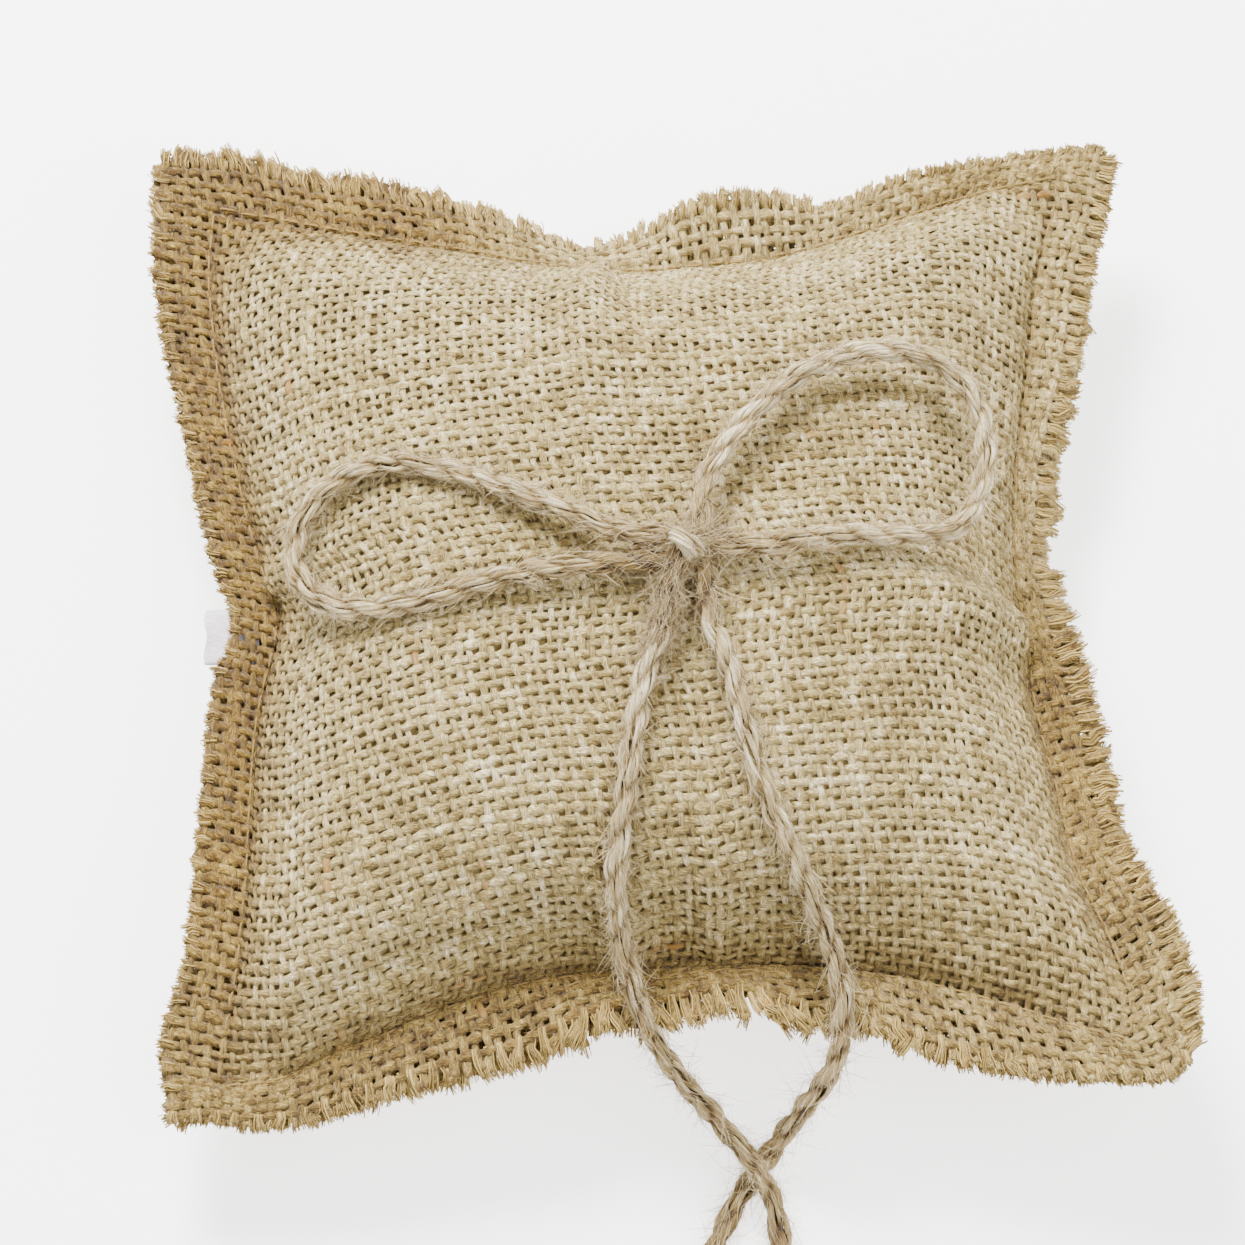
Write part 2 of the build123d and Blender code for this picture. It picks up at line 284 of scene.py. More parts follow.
# ---- twine: routes and twisted plies
ROUTES = {
    "bow_left_loop": [
        (3.4, 1.2, 50.4), (-0.3, 2.2, 50.6), (-6.0, 2.2, 50.6), (-14.0, 6.6, 49.6), (-22.2, 10.4, 47.8),
        (-30.6, 13.8, 45.8), (-38.8, 16.2, 43.8), (-46.4, 14.8, 41.2), (-52.2, 9.8, 38.2),
        (-53.8, 2.6, 36.6), (-50.0, -4.0, 38.6), (-42.6, -6.8, 42.2), (-34.0, -6.2, 45.0),
        (-25.4, -4.0, 47.2), (-16.6, -2.4, 48.4), (-8.0, -1.9, 49.0), (-0.3, -1.9, 49.0), (3.2, -0.8, 49.6),
    ],
    "bow_right_loop": [
        (5.2, 1.0, 50.6), (6.2, 4.7, 50.6), (6.2, 9.6, 50.6), (9.6, 16.2, 49.4), (14.2, 22.8, 47.8),
        (19.6, 28.4, 46.0), (26.2, 32.4, 44.3), (33.8, 34.4, 42.8), (41.4, 33.4, 41.2),
        (47.0, 28.6, 39.2), (48.6, 21.2, 38.7), (47.6, 12.4, 39.4), (43.2, 5.4, 41.4),
        (33.4, 4.0, 45.0), (24.8, 3.2, 47.2), (16.8, 0.8, 49.0), (8.7, 0.8, 49.0), (4.8, 0.4, 49.8),
    ],
    "left_tail": [
        (2.8, -0.6, 50.2), (1.6, -4.3, 49.0), (1.6, -10.0, 49.0), (-1.8, -17.4, 48.6), (-3.4, -25.4, 47.2),
        (-4.4, -33.4, 45.2), (-5.8, -41.0, 42.2), (-6.2, -47.8, 37.8), (-5.4, -53.2, 32.4),
        (-3.8, -58.8, 28.2), (-1.4, -64.6, 25.0), (2.2, -69.2, 20.0), (6.2, -72.6, 14.4),
        (9.8, -75.4, 10.0), (13.2, -78.8, 7.6), (16.2, -83.6, 6.6), (18.2, -89.6, 3.2),
        (18.4, -96.6, 1.9), (17.2, -103.2, 1.9),
    ],
    "right_tail": [
        (5.6, -0.4, 50.2), (6.8, -4.3, 49.0), (6.8, -9.6, 49.0), (9.6, -15.8, 48.4), (11.6, -23.6, 47.2),
        (13.8, -31.8, 45.0), (17.0, -39.2, 42.2), (20.6, -45.8, 38.2), (23.6, -51.4, 33.0),
        (26.0, -57.0, 28.8), (26.8, -63.4, 26.0), (25.4, -69.2, 21.4), (22.6, -71.8, 15.0),
        (19.6, -74.6, 9.0), (16.4, -77.9, 4.4), (13.2, -81.9, 2.1), (10.2, -87.2, 1.9),
        (7.6, -93.2, 1.9), (5.8, -99.4, 1.9),
    ],
}
# the knot's three short turns: one under, one that hangs as its neck, one over the top
KNOT_ROUTES = {
    "under": [(-3.4, 0.2, 49.0), (0.2, 0.6, 50.2), (3.4, 1.0, 50.8), (6.6, 1.4, 50.2), (10.4, 1.4, 49.0)],
    "neck": [
        (5.4, 2.2, 49.4), (4.6, 1.0, 51.2), (3.4, -1.0, 51.6), (2.2, -3.4, 50.8), (1.4, -6.2, 50.0),
        (1.0, -9.4, 49.4), (0.2, -12.8, 48.8), (-1.2, -16.4, 48.2),
    ],
    "wrap": [
        (2.8, 0.6, 48.0), (2.1, 0.8, 50.4), (2.5, 0.5, 52.8), (3.6, -0.2, 53.7), (4.7, -0.9, 52.8),
        (5.1, -1.2, 50.4), (4.5, -1.0, 48.0),
    ],
}
# each turn's swell, shade, strands in a ply, their half width, loose fibres and how pale these are; the
# under turn's low shade is painted shade beneath the wrap
KNOT_BUILD = {
    "under": (1.1, -0.8, 14, 0.29, 800, 0.65),
    "neck": (1.15, -1.2, 18, 0.22, 1500, 0.7),
    "wrap": (1.12, 1.2, 34, 0.21, 200, 1.0),
}


def route_line(name, route):
    """Points along the smooth line that the route's points control."""
    curve = bpy.data.curves.new(name, "CURVE")
    curve.dimensions = "3D"
    curve.resolution_u = 24
    spline = curve.splines.new("NURBS")
    spline.points.add(len(route) - 1)
    for point, place in zip(spline.points, route):
        point.co = (*(np.array(place) * MM), 1)
    spline.order_u = 3
    spline.use_endpoint_u = True
    holder = add_object(name, curve)
    mesh = bpy.data.meshes.new_from_object(holder)
    line = np.array([v.co for v in mesh.vertices]) / MM
    bpy.data.objects.remove(holder)
    bpy.data.meshes.remove(mesh)
    return line


def evenly(line, step):
    """The line in even steps of about the given length, and its points' lengths along it."""
    total = length_along(line)[-1]
    lengths = np.linspace(0, total, max(int(total / step), 4) + 1)
    return at_lengths(line, lengths), lengths


def carried_frame(line):
    """Two directions square to the line, carried along it without twist."""
    tangent = unit(np.gradient(line, axis=0))
    normal = np.zeros_like(line)
    normal[0] = unit(np.cross(tangent[0], (0, 0, 1)))
    for k in range(1, len(line)):
        normal[k] = unit(normal[k - 1] - tangent[k] * np.dot(normal[k - 1], tangent[k]))
    return tangent, normal, np.cross(tangent, normal)


# how pale the twine is at lengths along it: darker where it leaves the knot, painted shade under the knot's
# turns, and browner at the tails' ends
LOOP_SHADE = [(0, -0.7), (8, 0.3), (20, 0.9), (105, 0.9), (117, 0.3), (125, -0.7)]
TAIL_SHADE = [(0, -1.3), (8, -1.0), (12, 1.3), (60, 0.5), (124, -0.4)]
PLIES = 2
STRANDS = 14  # in each ply
PLY_LAY = 11.0  # length of one turn of the plies
STRAND_LAY = -26.0  # and of a ply's strands, which turn the other way
PLY_OFFSET = 0.50  # from the twine's middle to a ply's middle
STRAND_RING = 0.88  # from a ply's middle to its strands' middles
STRAND_HALF = 0.29  # half width of a strand
TWINE_STEP = 0.45  # between the points along a strand
TWINE_SIDES = 5


def twine(name, line, rng, phase, shade, swell=1.0, strands=STRANDS, strand_half=STRAND_HALF):
    """Two plies laid together, each a ring of strands: the piece, and lines for its loose fibres."""
    line, along = evenly(line, TWINE_STEP)
    tangent, normal, side = carried_frame(line)
    n = len(line)
    slack = smooth_noise(1, n, 16, rng)[0]
    lines, normals, widths, tones = [], [], [], []
    for ply in range(PLIES):
        lay = 2 * np.pi * (along / PLY_LAY + ply / PLIES) + phase + 0.6 * slack
        offset = swell * PLY_OFFSET * (1 + 0.16 * smooth_noise(1, n, 20, rng)[0])
        outward = normal * np.cos(lay)[:, None] + side * np.sin(lay)[:, None]
        ply_line = line + outward * offset[:, None]
        ply_tone = profile(shade, along) + rng.uniform(-0.2, 0.2)
        for strand in range(strands):
            turn = 2 * np.pi * (along / STRAND_LAY + strand / strands)
            turn = turn + 0.7 * smooth_noise(1, n, 26, rng)[0]
            ring = swell * STRAND_RING * (1 + 0.24 * smooth_noise(1, n, 9, rng)[0])
            spread = normal * np.cos(turn)[:, None] + side * np.sin(turn)[:, None]
            lines.append(ply_line + spread * ring[:, None])
            normals.append(spread)
            widths.append(strand_half * (1 + 0.35 * smooth_noise(1, n, 7, rng)[0]))
            # painted shade: strands that face the other ply, in the groove between the plies, are darker
            groove_shade = np.clip(0.45 - np.sum(spread * outward, axis=1), 0, 1)
            own = rng.uniform(-0.6, 0.6) + 0.7 * smooth_noise(1, n, 14, rng)[0]
            tones.append(ply_tone + own - 1.9 * groove_shade)
    lines, normals, widths = np.array(lines), np.array(normals), np.array(widths)
    points, faces, angles = tubes(lines, normals, widths * 1.15, widths * 0.85, TWINE_SIDES)
    grain = fibre_grain(along, len(lines), n, TWINE_SIDES, angles, rng, 0.16, 0.9)
    tone = np.repeat(np.array(tones).reshape(-1), TWINE_SIDES)
    piece = new_piece(name, points, faces, {"grain": grain, "tone": tone})
    return piece, (line, lines, normals)


def twine_fibres(name, laid, count, rng, pale=1.0):
    """Fibres that lie along the strands, some standing well clear."""
    line, lines, normals = laid
    strand = rng.integers(0, len(lines), count)
    spot = rng.integers(2, lines.shape[1] - 2, count)
    root = lines[strand, spot]
    tangent = unit(lines[strand, spot + 1] - lines[strand, spot - 1])
    outward = unit(root - line[spot])
    way = np.where(rng.random(count) < 0.6, 1, -1)[:, None]
    wild = rng.random((count, 1)) < 0.32
    lift = np.where(wild, rng.uniform(0.3, 1.3, (count, 1)), rng.uniform(0.05, 0.25, (count, 1)))
    around = np.cross(tangent, outward)
    heads = unit(tangent * way + outward * lift + around * rng.normal(0, 0.35, (count, 1)))
    lengths = rng.gamma(3.0, 0.9, count).clip(0.8, 7.0)
    half = rng.uniform(0.022, 0.056, count)
    return fibres(name, root + outward * 0.3, heads, outward, lengths, half, rng, 5, 0.35, pale)


twine_rng = np.random.default_rng(7)
cord_lines, cord_pieces, hair_pieces, knot_pieces = {}, {}, {}, []
for number, (name, route) in enumerate(ROUTES.items()):
    shade = LOOP_SHADE if name.endswith("loop") else TAIL_SHADE
    piece, laid = twine(f"{name}_twine", route_line(name, route), twine_rng, 0.9 * number, shade)
    cord_lines[name] = laid[0]
    cord_pieces[name] = piece
    hair_pieces[name] = twine_fibres(f"{name}_fibres", laid, 2600, twine_rng)
knot_rng = np.random.default_rng(23)
for number, (name, route) in enumerate(KNOT_ROUTES.items()):
    swell, shade, strands, half, hairs, pale = KNOT_BUILD[name]
    line, phase = route_line(name, route), 2.1 + number
    piece, laid = twine(f"knot_{name}", line, knot_rng, phase, [(0, shade)], swell, strands, half)
    knot_pieces += [piece, twine_fibres(f"knot_{name}_fibres", laid, hairs, knot_rng, pale)]


# ---- cushion surface
def filled(bottom, top, left, right):
    """Coons patch: rows go up from bottom to top, columns from left to right."""
    rows, cols = len(left), len(bottom)
    v = np.linspace(0, 1, rows)[:, None, None]
    u = np.linspace(0, 1, cols)[None, :, None]
    ruled = (1 - v) * bottom[None] + v * top[None] + (1 - u) * left[:, None] + u * right[:, None]
    corners = (
        (1 - u) * (1 - v) * bottom[0] + u * (1 - v) * bottom[-1]
        + (1 - u) * v * top[0] + u * v * top[-1]
    )
    return ruled - corners


def read_grid(grid, rows, cols):
    """Smooth reading of a grid at fractional rows and columns."""
    def weights(t):
        return np.stack([
            -0.5 * t + t**2 - 0.5 * t**3, 1 - 2.5 * t**2 + 1.5 * t**3,
            0.5 * t + 2 * t**2 - 1.5 * t**3, -0.5 * t**2 + 0.5 * t**3,
        ], -1)

    top = grid.shape[0] - 1
    r = np.clip(np.floor(rows).astype(int), 0, top - 1)
    c = np.clip(np.floor(cols).astype(int), 0, top - 1)
    wr, wc = weights(rows - r), weights(cols - c)
    out = 0
    for a in range(4):
        for b in range(4):
            value = grid[np.clip(r + a - 1, 0, top), np.clip(c + b - 1, 0, top)]
            out = out + value * (wr[..., a] * wc[..., b])[..., None]
    return out


def grid_normals(grid, direction):
    """Which way a panel faces at each point: direction is 1 on the front, -1 on the back."""
    up, across = np.gradient(grid, axis=0), np.gradient(grid, axis=1)
    return unit(np.cross(across, up)) * direction


INFLATE_CELLS = 40  # of the simulated cloth, along each side
INFLATE_SPAN = 1.32  # metres along a side while it is blown up
INFLATE_FRAMES = 30
CLOTH = {
    "quality": 6, "mass": 0.3, "tension_stiffness": 60, "compression_stiffness": 30, "shear_stiffness": 6,
    "bending_stiffness": 0.6, "tension_damping": 12, "air_damping": 4, "use_pressure": True,
    "uniform_pressure_force": 4,
}
INNER_SPAN = 120  # millimetres along a side, before it is fitted to the seam
CORNER_REACH = 0.15  # share of the side over which the crown stays flatter at each corner
FLOOR_GAP = YARN_HALF_HEIGHT + CRIMP + 0.05  # from the floor to the middle of the cloth on it
FLOOR_EASE = 1.2  # how softly the back bends into its flat


def inflated():
    """Two squares of cloth sewn together and blown up: front and back points, 1 on a side."""
    n = INFLATE_CELLS + 1
    line = np.linspace(-0.5, 0.5, n)
    x, y = np.meshgrid(line, line)
    swell = 0.02 * np.clip((1 - (2 * x) ** 4) * (1 - (2 * y) ** 4), 0, 1) ** 0.5
    inner = np.zeros((n, n), bool)
    inner[1:-1, 1:-1] = True
    index_front = np.arange(n * n).reshape(n, n)
    index_back = index_front.copy()
    index_back[inner] = n * n + np.arange(inner.sum())
    start = np.concatenate([np.stack([x, y, swell], -1).reshape(-1, 3), np.stack([x, y, -swell], -1)[inner]])
    faces = np.concatenate([grid_faces(index_front), grid_faces(index_back)[:, ::-1]])
    pad = new_piece("inflating", start * INFLATE_SPAN / MM, [faces])
    cloth = pad.modifiers.new("cloth", "CLOTH")
    for setting, value in CLOTH.items():
        setattr(cloth.settings, setting, value)
    cloth.settings.effector_weights.gravity = 0
    cloth.collision_settings.use_self_collision = False
    for frame_number in range(1, INFLATE_FRAMES + 1):
        bpy.context.scene.frame_set(frame_number)
    settled = pad.evaluated_get(bpy.context.evaluated_depsgraph_get()).to_mesh()
    points = np.empty(len(start) * 3)
    settled.vertices.foreach_get("co", points)
    points = points.reshape(-1, 3) / INFLATE_SPAN
    bpy.context.scene.frame_set(1)
    bpy.data.objects.remove(pad)
    return points[index_front], points[index_back]


def calmed(blown):
    """Takes most of the small wrinkles out of a cloth, and keeps its seam."""
    soft = blown.copy()
    for _ in range(8):
        around = (soft[:-2, 1:-1] + soft[2:, 1:-1] + soft[1:-1, :-2] + soft[1:-1, 2:]) / 4
        soft[1:-1, 1:-1] = around
    return 0.25 * blown + 0.75 * soft


def spread_evenly(grid):
    """Slides a grid's points along its rows and columns until they are evenly spaced."""
    for _ in range(6):
        for turned_grid in (grid, grid.transpose(1, 0, 2)):
            for line in turned_grid:
                line[:] = at_lengths(line, np.linspace(0, length_along(line)[-1], len(line)))
    return grid


def cushion():
    """Middle surfaces of the front and back panels inside the seam."""
    t = np.linspace(0, 1, INNER_CELLS + 1)
    seam = filled(*(through(SEAM[side], t) for side in SIDES))
    finer = np.arange(INNER_CELLS + 1) * INFLATE_CELLS / INNER_CELLS
    near = np.minimum(t, 1 - t)
    from_corner = np.clip(np.hypot(near[:, None], near[None]) / CORNER_REACH, 0, 1)
    corner_ease = from_corner**2 * (3 - 2 * from_corner)
    rows, cols = np.meshgrid(finer, finer, indexing="ij")
    panels = []
    for blown, direction, rise in zip(inflated(), (1, -1), (CROWN_RISE, BACK_DROP)):
        blown = read_grid(calmed(blown), rows, cols)
        flat = blown[..., :2] * INNER_SPAN
        fit = filled(
            seam[0, :, :2] - flat[0], seam[-1, :, :2] - flat[-1],
            seam[:, 0, :2] - flat[:, 0], seam[:, -1, :2] - flat[:, -1],
        )
        lift = np.maximum(blown[..., 2] * direction, 0)
        lift = lift / lift.max() * rise * corner_ease
        height = seam[..., 2] + direction * (LAYER_HALF + lift)
        if direction < 0:
            above = height - FLOOR_GAP
            height = FLOOR_GAP + 0.5 * (above + np.sqrt(above**2 + FLOOR_EASE**2)) - 0.35
        panels.append(spread_evenly(np.concatenate([flat + fit, height[..., None]], -1)))
    return panels


def with_flange(inner, direction, rng):
    """Adds the flange round a panel's inner surface, on the same lattice."""
    f, last = FLANGE_CELLS, FLANGE_CELLS + INNER_CELLS
    full = np.zeros((CELLS + 1, CELLS + 1, 3))
    full[f:last + 1, f:last + 1] = inner
    mid = slice(f, last + 1)
    t = np.linspace(0, 1, CELLS + 1)
    edges = {}
    for side in EDGE:
        line = through(EDGE[side], t)
        seam = through(SEAM[side], np.clip((t * CELLS - f) / INNER_CELLS, 0, 1))
        inward = unit(seam - line)
        line = line + inward * (0.85 * profile(FRINGE[side], t))[:, None]
        gap = LAYER_HALF + 0.45 * np.abs(smooth_noise(1, CELLS + 1, 9, rng)[0])
        line[:, 2] += direction * gap
        edges[side] = line
    for across, row in (("bottom", 0), ("top", -1)):
        for up, col in (("left", 0), ("right", -1)):
            edges[across][col] = edges[up][row] = (edges[across][col] + edges[up][row]) / 2
    w = np.linspace(0, 1, f + 1)[:, None, None]

    def strip(seam, edge):
        """From the seam at row 0 out to the raw edge, a little puffed."""
        flange = seam[None] * (1 - w) + edge[mid][None] * w
        flange[..., 2] += direction * 0.5 * np.sin(np.pi * w[..., 0]) ** 0.6
        return flange

    low, high = slice(None, f + 1), slice(last, None)
    bottom, top, left, right = (edges[side] for side in SIDES)
    full[high, mid] = strip(inner[-1], top)
    full[low, mid] = strip(inner[0], bottom)[::-1]
    full[mid, high] = strip(inner[:, -1], right).transpose(1, 0, 2)
    full[mid, low] = strip(inner[:, 0], left)[::-1].transpose(1, 0, 2)
    full[high, high] = filled(full[last, high], top[high], full[high, last], right[high])
    full[high, low] = filled(full[last, low], top[low], left[high], full[high, f])
    full[low, high] = filled(bottom[high], full[f, high], full[low, last], right[low])
    full[low, low] = filled(bottom[low], full[f, low], left[low], full[low, f])
    return full


TWINE_SINK = 2.2  # from the twine's middle down to the cloth's middle


def pressed_by_twine(panel):
    """Lowers the front cloth where the twine lies on it."""
    points = panel.reshape(-1, 3)
    limit = np.full(len(points), 1e9)
    for line in cord_lines.values():
        for x, y, z in line[::3]:
            gap = (points[:, 0] - x) ** 2 + (points[:, 1] - y) ** 2
            limit = np.minimum(limit, z - TWINE_SINK + 0.08 * gap)
    points[:, 2] = np.minimum(points[:, 2], limit)
    return points.reshape(panel.shape)


shape_rng = np.random.default_rng(3)
front_inner, back_inner = cushion()
grids = {
    "front": (pressed_by_twine(with_flange(front_inner, 1, shape_rng)), 1),
    "back": (with_flange(back_inner, -1, shape_rng), -1),
}


# ---- weaving
def on_panel(panel, rows, cols):
    """A panel's middle surface and its normals at fractional rows and columns."""
    grid, direction = grids[panel]
    return read_grid(grid, rows, cols), unit(read_grid(grid_normals(grid, direction), rows, cols))


YARNS = np.arange(CELLS - 1)[:, None]  # the yarns' numbers, one to a row
STEPS = np.arange(0.5, CELLS, 0.5)  # a yarn's points, at the crossings and halfway between them
YARN_SIDES = 5


def turned(rows, cols):
    """Turns the yarns' places on the crown, fading to nothing at the seam."""
    middle = CELLS / 2
    u = np.clip((cols - middle) / (INNER_CELLS / 2), -1, 1)
    v = np.clip((rows - middle) / (INNER_CELLS / 2), -1, 1)
    fade = GRAIN_TURN * np.sqrt((1 - u**2) * (1 - v**2))
    return rows + fade * (cols - middle), cols - fade * (rows - middle)


def gold_and_flange_shade(along, place, along_rows):
    """How gold the cloth is, and how much painted shade darkens it: strong on the flange, fading on the
    crown.
    """
    rows, cols = (along, place) if along_rows else (place, along)
    gaps = {"bottom": rows, "top": CELLS - rows, "left": cols, "right": CELLS - cols}
    places = {"bottom": cols, "top": cols, "left": rows, "right": rows}
    weights = {side: np.exp(-gaps[side] / 2.0) + 1e-9 for side in gaps}
    strength = sum(weights[side] * profile(GOLD_AND_SHADE[side], places[side] / CELLS) for side in gaps)
    strength = strength / sum(weights.values())
    across = np.clip(np.minimum(gaps["left"], gaps["right"]) - FLANGE_CELLS + 1, 0, None)
    up = np.clip(np.minimum(gaps["bottom"], gaps["top"]) - FLANGE_CELLS + 1, 0, None)
    inside = across * up / np.maximum(np.hypot(across, up), 1e-6)
    return strength * np.clip(1 - inside / 7.0, 0, 1)


def yarn_lines(panel, along_rows, shift, rng):
    """Lines, normals and sizes of the yarns that run one way, and where they rise and sink."""
    half_width, slant = (WARP_HALF_WIDTH, WARP_SLANT) if along_rows else (WEFT_HALF_WIDTH, WEFT_SLANT)
    k, n = len(YARNS), len(STEPS)
    wander = 0.12 * smooth_noise(k, n, 16, rng) + 0.05 * rng.normal(0, 1, (k, 1))
    place = YARNS + 0.5 + shift + wander
    along = np.broadcast_to(STEPS, (k, n))
    rows, cols = turned(*((along, place) if along_rows else (place, along)))
    centre, normal = on_panel(panel, rows, cols)
    crossing = np.round(STEPS - 0.5).astype(int)
    over = np.where((crossing + YARNS) % 2 == (0 if along_rows else 1), 1.0, -1.0)
    at_crossing = np.isclose(STEPS % 1.0, 0.5)
    wave = np.where(at_crossing, over, 0.0)
    after = np.roll(over, -1, axis=1)
    sideways = unit(np.cross(np.gradient(centre, axis=1), normal)) * (1 if along_rows else -1)
    drift = np.where(at_crossing, 0.0, -after * slant) * (1 + 0.5 * smooth_noise(k, n, 3, rng))
    centre = centre + sideways * drift[..., None]
    centre = centre + normal * (wave * CRIMP * (1 + 0.2 * smooth_noise(k, n, 3, rng)))[..., None]
    swell = 1 + 0.14 * smooth_noise(k, n, 11, rng) + 0.16 * smooth_noise(k, n, 2.5, rng)
    slub = 2.2 * np.clip(smooth_noise(k, n, 8, rng) - 0.78, 0, 1)
    thick = rng.normal(1.0, 0.10, (k, 1)) * swell * (1 + slub)
    from_side = np.minimum(YARNS, CELLS - 2 - YARNS) + 0.5
    from_edge = np.minimum(np.minimum(STEPS, CELLS - STEPS), from_side)
    spread_flat = 1 + FLANGE_SPREAD[panel] * np.clip(FLANGE_CELLS + 0.5 - from_edge, 0, 1)
    width = half_width * thick * (1 + 0.06 * wave) * spread_flat
    return (centre, normal, width, YARN_HALF_HEIGHT * thick**0.5), wave


def free_end(side, low, cloth, rng):
    """The yarns' free ends on one side, and the lines, normals and lengths for the tufts."""
    centre, normal, width, height = cloth
    k = len(YARNS)
    reach = profile(FRINGE[side], (YARNS[:, 0] + 0.5) / CELLS) * rng.uniform(0.8, 1.12, k)
    edge, within = (0, 4) if low else (-1, -5)
    end, inner = centre[:, edge], centre[:, within]
    head = unit(end - inner)
    lift_to = normal[:, edge]
    aside = np.cross(head, lift_to)
    bend = rng.normal(0, 0.12, (k, 1)) + 0.19 * smooth_noise(1, k, 7, rng).T
    lift = rng.normal(0.03, 0.14, (k, 1))
    t = np.linspace(0, 1, FREE_POINTS + 1)[1:]
    curl = rng.normal(0, 0.07, (k, 1)) * np.sin(4.5 * t + rng.uniform(0, 3, (k, 1)))
    path = (
        end[:, None] + head[:, None] * (0.72 * reach[:, None] * t)[..., None]
        + aside[:, None] * (reach[:, None] * (bend * t**2 + curl))[..., None]
        + lift_to[:, None] * (reach[:, None] * lift * t**2)[..., None]
    )
    normals = np.repeat(lift_to[:, None], FREE_POINTS, 1)
    taper = 1 + 0.15 * t
    followed = np.concatenate([inner[:, None] * 0.2 + end[:, None] * 0.8, path], 1)
    bit = (path, normals, width[:, edge, None] * taper, height[:, edge, None] * taper)
    return bit, (followed, lift_to, reach)


def yarn_looks(along_rows, wave, angles, rng):
    """What the cloth's colour is mixed from, at each point."""
    k, total = len(YARNS), len(STEPS) + 2 * FREE_POINTS
    past_ends = ((0, 0), (FREE_POINTS, FREE_POINTS))
    grain = fibre_grain(np.arange(total) * 0.8, k, total, YARN_SIDES, angles, rng, 0.30, 1.0, 0.55)
    tone = rng.normal(0.25 if along_rows else -0.05, 0.38, (k, 1))
    tone = tone + 0.4 * smooth_noise(k, total, 30, rng)
    from_middle = np.maximum(np.abs(STEPS - CELLS / 2), np.abs(YARNS + 0.5 - CELLS / 2))
    # painted shade: a dark line along the seam, where the cloth folds in
    seam_shade = np.exp(-(((from_middle - INNER_CELLS / 2) / 0.45) ** 2))
    tone = tone - 1.3 * np.pad(seam_shade, past_ends)
    stained = rng.random((k, 1)) < 0.06
    stain = stained * np.clip(smooth_noise(k, total, 12, rng) - 0.6, 0, 0.4) * 2
    # painted shade: yarns are darkened where they pass under the crossing yarn
    under_shade = np.pad(np.clip(-wave, 0, 1), past_ends)
    reached = np.clip((np.arange(total) - FREE_POINTS) / 2, 0, CELLS)
    # edge gives the flange its gold colour and also darkens it as painted shade
    edge = gold_and_flange_shade(*np.broadcast_arrays(reached, YARNS + 0.5), along_rows)
    looks = {"tone": tone, "stain": stain, "under_shade": under_shade, "edge": edge}
    return {"grain": grain} | {key: np.repeat(value.reshape(-1), YARN_SIDES) for key, value in looks.items()}


def woven(panel, along_rows, shift, rng):
    """All yarns of one panel that run one way, with their free ends."""
    cloth, wave = yarn_lines(panel, along_rows, shift, rng)
    low_side, high_side = ("bottom", "top") if along_rows else ("left", "right")
    low_bit, free_ends[panel, low_side] = free_end(low_side, True, cloth, rng)
    high_bit, free_ends[panel, high_side] = free_end(high_side, False, cloth, rng)
    bits = [[part[:, ::-1] for part in low_bit], cloth, high_bit]
    centre, normal, width, height = (np.concatenate(parts, 1) for parts in zip(*bits))
    lumps = 1 + 0.13 * rng.normal(0, 1, (*width.shape, YARN_SIDES, 1)).clip(-2, 2)
    points, faces, angles = tubes(centre, normal, width, height, YARN_SIDES, 0.3, lumps)
    looks = yarn_looks(along_rows, wave, angles, rng)
    return new_piece(f"{panel}_{'warp' if along_rows else 'weft'}", points, faces, looks)


weave_rng = np.random.default_rng(11)
free_ends = {}
weave_pieces = [
    woven(panel, along_rows, shift, weave_rng)
    for panel, shift in (("front", 0.0), ("back", 0.5)) for along_rows in (True, False)
]


TUFT_STRANDS = 16  # on each free end
TUFT_HALF_WIDTH = 0.74


def tufts(panel, rng):
    """The free ends opened into soft tufts: strands that follow each end, side by side."""
    lines, lifts, half = [], [], []
    for side in EDGE:
        path, lift, reach = free_ends[panel, side]
        run = unit(np.gradient(path, axis=1))
        aside = np.cross(run, lift[:, None])
        last = path.shape[1] - 1
        t = np.linspace(0, 1, last + 1)
        for _ in range(TUFT_STRANDS):
            spread = rng.uniform(-1, 1, (len(path), 1)) * TUFT_HALF_WIDTH * (0.75 + 0.6 * t)
            sink = rng.normal(0, 0.2, (len(path), 1)) + 0 * t
            beyond = reach * rng.uniform(0.05, 0.30, len(path))
            stretch = 1 + beyond[:, None] / np.maximum(reach, 0.5)[:, None] * 1.2 * t
            line = path[:, :1] + (path - path[:, :1]) * stretch[..., None]
            line = line + aside * (spread + 0.07 * smooth_noise(len(path), last + 1, 2, rng))[..., None]
            lines.append(line + lift[:, None] * sink[..., None])
            lifts.append(lift)
            half.append(rng.uniform(0.09, 0.17, len(path)))
    lines, lifts, half = (np.concatenate(parts) for parts in (lines, lifts, half))
    lines[..., 2] = np.maximum(lines[..., 2], 0.2)
    taper = half[:, None] * (1 - 0.35 * np.linspace(0, 1, lines.shape[1]) ** 3)
    points, faces, _ = tubes(lines, lifts[:, None] + np.zeros_like(lines), taper, taper, 3)
    tone = np.repeat(rng.uniform(0.15, 0.85, len(lines)), lines.shape[1] * 3)
    return new_piece(f"{panel}_tufts", points, faces, {"tone": tone})


def frayed_ends(panel, rng):
    """Fine fibres that spread from the tufts."""
    bundles = []
    for side in EDGE:
        path, lift, reach = free_ends[panel, side]
        base, tip = path[:, 1], path[:, -1]
        head = unit(tip - base)
        for _ in range(4):
            t = rng.uniform(-0.4, 0.9, (len(tip), 1))
            way = unit(head + rng.normal(0, 0.42, tip.shape))
            lengths = 0.5 + 0.3 * reach * rng.random(len(tip))
            bundles.append((base * (1 - t) + tip * t, way, lift, lengths))
    roots, heads, lifts, lengths = (np.concatenate(parts) for parts in zip(*bundles))
    half = rng.uniform(0.025, 0.05, len(roots))
    return fibres(f"{panel}_frayed_ends", roots, heads, lifts, lengths, half, rng)


